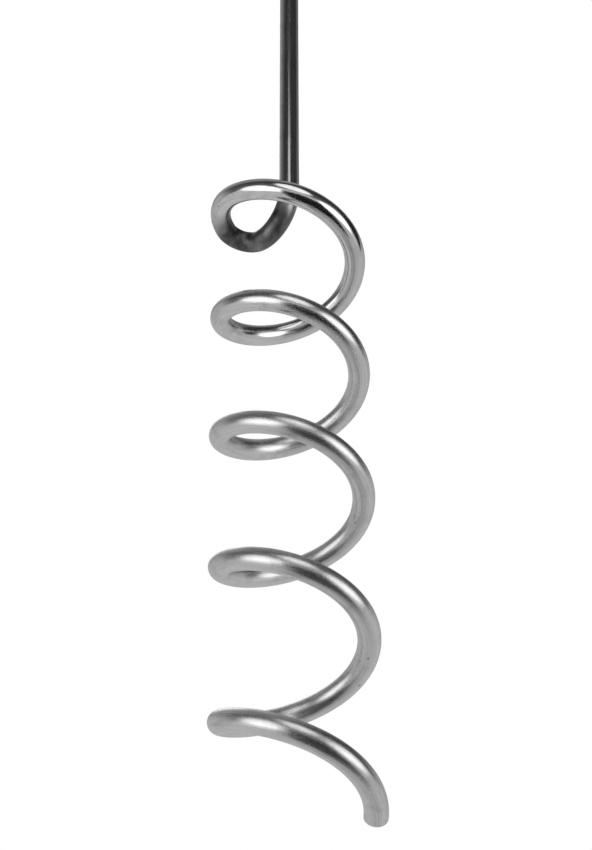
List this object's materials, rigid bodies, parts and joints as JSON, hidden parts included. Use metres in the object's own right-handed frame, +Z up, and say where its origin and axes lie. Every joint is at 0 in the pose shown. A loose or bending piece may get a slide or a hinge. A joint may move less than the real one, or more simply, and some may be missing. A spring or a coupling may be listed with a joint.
{
  "type": "mortar mixing paddle",
  "caption": "Round steel bar wound into a tall open left-hand coil under a straight shaft, welded into a hexagonal drive coupler with a threaded stud.",
  "frame": {"origin": "on the spin axis, in the plane of the coupler's shoulder that pulls up against the machine's spindle", "axes": "+Z up the straight shaft and the spin axis, towards the mixing machine; -Y is the side that faces the viewer"},
  "size_m": [0.0909, 0.0924, 0.6271],
  "materials": {
    "drawn_bar": "bright drawn steel bar, zinc plated, fine lengthwise die lines and small pits",
    "turned_coupler": "turned from hexagon steel, zinc plated",
    "weld_metal": "mild steel weld bead, wire brushed, dull"
  },
  "bodies": {
    "root": {"paddle_bar": "drawn_bar", "drive_coupler": "turned_coupler", "weld_bead": "weld_metal"}
  },
  "joints": []
}
